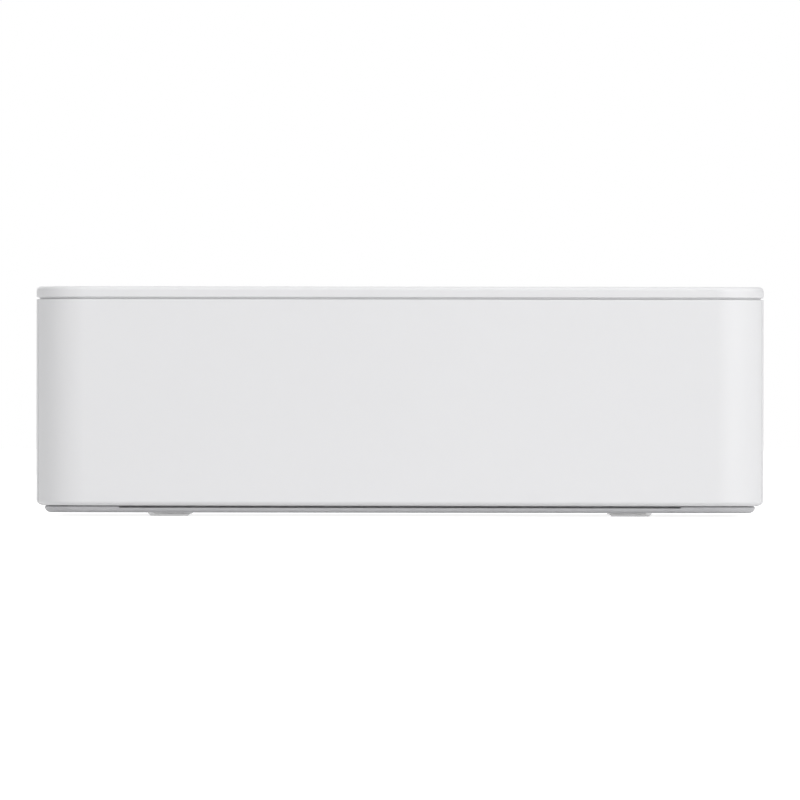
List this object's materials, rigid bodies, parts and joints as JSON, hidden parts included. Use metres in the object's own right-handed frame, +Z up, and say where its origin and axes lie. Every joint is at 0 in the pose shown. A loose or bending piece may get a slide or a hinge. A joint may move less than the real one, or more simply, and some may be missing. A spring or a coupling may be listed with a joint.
{
  "type": "compact photo printer",
  "caption": "Low white box with a hinged front cover over a paper bay, a hinged side cover over an ink cassette, a flush screen and push buttons on top.",
  "frame": {"origin": "centre of the footprint, on the surface that the feet stand on", "axes": "+X to the right seen from the front, +Y to the back, +Z up; the front cover faces -Y"},
  "size_m": [0.1822, 0.133, 0.0576],
  "materials": {
    "white_shell": "fine satin moulded",
    "white_button": "smooth satin",
    "grey_plastic": "fine moulded grain",
    "dark_plastic": "fine moulded grain",
    "black_plastic": "fine moulded grain",
    "gear_plastic": "smooth natural acetal",
    "screen_glass": "polished black",
    "steel": "rolled sheet and ground bar",
    "aluminium": "extruded",
    "foot_rubber": "matt",
    "roller_rubber": "ground matt",
    "circuit_board": "solder resist",
    "ink_film": "thin wound film"
  },
  "bodies": {
    "chassis": {"base_tray": "grey_plastic", "rubber_feet": "foot_rubber", "base_screws": "steel", "casing": "white_shell", "front_frame": "white_shell", "cassette_guide": "dark_plastic", "top_plate": "white_shell", "screen_window": "screen_glass", "lcd_panel": "dark_plastic", "button_board": "circuit_board", "tact_switches": "dark_plastic", "left_side_plate": "steel", "right_side_plate": "steel", "press_bar": "steel", "head_pivot_rod": "steel", "shaft_bushes": "gear_plastic", "lower_paper_guide": "dark_plastic", "pinch_holder": "dark_plastic", "main_board": "circuit_board", "dc_jack": "black_plastic", "io_board": "circuit_board", "card_slot": "steel", "usb_socket": "steel", "motor_bracket": "steel", "drive_motor": "steel", "lift_motor": "steel", "fan_frame": "black_plastic", "hinge_pins": "steel"},
    "front_cover": {"front_cover": "white_shell"},
    "ink_cover": {"ink_cover": "white_shell"},
    "head": {"head_frame": "steel", "heat_sink": "aluminium", "thermal_head": "gear_plastic"},
    "cam": {"cam_shaft": "steel", "cam_gear": "gear_plastic"},
    "lift_pinion": {"lift_pinion": "gear_plastic"},
    "drive_pinion": {"drive_pinion": "gear_plastic"},
    "reduction_gear": {"reduction_gear": "gear_plastic"},
    "platen": {"platen_shaft": "steel", "platen_rubber": "roller_rubber", "platen_gear": "gear_plastic"},
    "feed": {"feed_roller": "steel", "feed_gear": "gear_plastic"},
    "pinch_roller": {"pinch_roller": "steel"},
    "pickup": {"pickup_roller": "steel", "pickup_gear": "gear_plastic"},
    "take_up_idler": {"take_up_idler": "gear_plastic"},
    "take_up_gear": {"take_up_gear": "gear_plastic"},
    "ink_cassette": {"ink_cassette": "black_plastic", "ink_ribbon": "ink_film"},
    "supply_spool": {"supply_spool": "ink_film"},
    "take_up_spool": {"take_up_spool": "ink_film"},
    "eject_lever": {"eject_lever": "grey_plastic"},
    "fan_rotor": {"fan_rotor": "dark_plastic"},
    "power_button": {"power_button": "white_button"},
    "menu_button": {"menu_button": "white_button"},
    "back_button": {"back_button": "white_button"},
    "print_button": {"print_button": "white_button"},
    "direction_pad": {"direction_pad": "white_button"},
    "ok_button": {"ok_button": "white_button"}
  },
  "joints": [
    {"name": "front_cover_hinge", "type": "hinge", "parent": "chassis", "child": "front_cover", "pos_m": [0, -0.0648, 0.00475], "axis": [1, 0, 0], "range_deg": [0, 90]},
    {"name": "ink_cover_hinge", "type": "hinge", "parent": "chassis", "child": "ink_cover", "pos_m": [0.0895, 0.0271, 0.017], "axis": [0, 1, 0], "range_deg": [0, 90]},
    {"name": "cam_turn", "type": "hinge", "parent": "chassis", "child": "cam", "pos_m": [0, -0.01, 0.03935], "axis": [1, 0, 0], "range_deg": [0, 180]},
    {"name": "head_swing", "type": "hinge", "parent": "chassis", "child": "head", "pos_m": [0, 0.0525, 0.0456], "axis": [1, 0, 0], "range_deg": [0, 4.5]},
    {"name": "lift_pinion_spin", "type": "hinge", "parent": "chassis", "child": "lift_pinion", "pos_m": [0, -0.025, 0.03935], "axis": [1, 0, 0], "range_deg": [-360, 0]},
    {"name": "platen_spin", "type": "hinge", "parent": "chassis", "child": "platen", "pos_m": [0, 0.028, 0.0156], "axis": [1, 0, 0], "continuous": true},
    {"name": "reduction_spin", "type": "hinge", "parent": "chassis", "child": "reduction_gear", "pos_m": [0, 0.012, 0.0156], "axis": [1, 0, 0], "continuous": true},
    {"name": "drive_pinion_spin", "type": "hinge", "parent": "chassis", "child": "drive_pinion", "pos_m": [0, 0.012, 0.0316], "axis": [1, 0, 0], "continuous": true},
    {"name": "feed_spin", "type": "hinge", "parent": "chassis", "child": "feed", "pos_m": [0, -0.004, 0.0156], "axis": [1, 0, 0], "continuous": true},
    {"name": "pinch_spin", "type": "hinge", "parent": "chassis", "child": "pinch_roller", "pos_m": [0, -0.004, 0.02335], "axis": [1, 0, 0], "continuous": true},
    {"name": "pickup_spin", "type": "hinge", "parent": "chassis", "child": "pickup", "pos_m": [0, -0.021, 0.02409], "axis": [1, 0, 0], "continuous": true},
    {"name": "take_up_idler_spin", "type": "hinge", "parent": "chassis", "child": "take_up_idler", "pos_m": [0, 0.04199, 0.01608], "axis": [1, 0, 0], "continuous": true},
    {"name": "take_up_gear_spin", "type": "hinge", "parent": "chassis", "child": "take_up_gear", "pos_m": [0, 0.0435, 0.03], "axis": [1, 0, 0], "continuous": true},
    {"name": "ink_cassette_slide", "type": "slide", "parent": "chassis", "child": "ink_cassette", "axis": [1, 0, 0], "range_m": [0, 0.018]},
    {"name": "supply_spool_spin", "type": "hinge", "parent": "ink_cassette", "child": "supply_spool", "pos_m": [0, 0.011, 0.0306], "axis": [1, 0, 0], "continuous": true},
    {"name": "take_up_spool_spin", "type": "hinge", "parent": "ink_cassette", "child": "take_up_spool", "pos_m": [0, 0.0435, 0.03], "axis": [1, 0, 0], "continuous": true},
    {"name": "eject_lever_turn", "type": "hinge", "parent": "chassis", "child": "eject_lever", "pos_m": [0, -0.002, 0.0426], "axis": [1, 0, 0], "range_deg": [0, 12], "stiffness_Nm_per_rad": 0.05, "springref_deg": -5.73},
    {"name": "fan_spin", "type": "hinge", "parent": "chassis", "child": "fan_rotor", "pos_m": [0, 0.041, 0.028], "axis": [1, 0, 0], "continuous": true},
    {"name": "power_press", "type": "slide", "parent": "chassis", "child": "power_button", "axis": [0, 0, -1], "range_m": [0, 0.0006], "stiffness_N_per_m": 300, "springref_m": -0.001},
    {"name": "menu_press", "type": "slide", "parent": "chassis", "child": "menu_button", "axis": [0, 0, -1], "range_m": [0, 0.0006], "stiffness_N_per_m": 300, "springref_m": -0.001},
    {"name": "back_press", "type": "slide", "parent": "chassis", "child": "back_button", "axis": [0, 0, -1], "range_m": [0, 0.0006], "stiffness_N_per_m": 300, "springref_m": -0.001},
    {"name": "print_press", "type": "slide", "parent": "chassis", "child": "print_button", "axis": [0, 0, -1], "range_m": [0, 0.0006], "stiffness_N_per_m": 300, "springref_m": -0.001},
    {"name": "pad_press", "type": "slide", "parent": "chassis", "child": "direction_pad", "axis": [0, 0, -1], "range_m": [0, 0.0006], "stiffness_N_per_m": 300, "springref_m": -0.001},
    {"name": "ok_press", "type": "slide", "parent": "chassis", "child": "ok_button", "axis": [0, 0, -1], "range_m": [0, 0.0006], "stiffness_N_per_m": 300, "springref_m": -0.001}
  ],
  "couplings": [
    {"joint": "head_swing", "follows": "cam_turn", "ratio": 0.025},
    {"joint": "lift_pinion_spin", "follows": "cam_turn", "ratio": -2},
    {"joint": "reduction_spin", "follows": "platen_spin", "ratio": -1},
    {"joint": "drive_pinion_spin", "follows": "platen_spin", "ratio": 2.2},
    {"joint": "feed_spin", "follows": "platen_spin", "ratio": 1},
    {"joint": "pinch_spin", "follows": "platen_spin", "ratio": -1.4667},
    {"joint": "pickup_spin", "follows": "platen_spin", "ratio": -0.72727},
    {"joint": "take_up_idler_spin", "follows": "platen_spin", "ratio": -1.3333},
    {"joint": "take_up_gear_spin", "follows": "platen_spin", "ratio": 1},
    {"joint": "take_up_spool_spin", "follows": "platen_spin", "ratio": 1},
    {"joint": "supply_spool_spin", "follows": "platen_spin", "ratio": -0.64706}
  ]
}
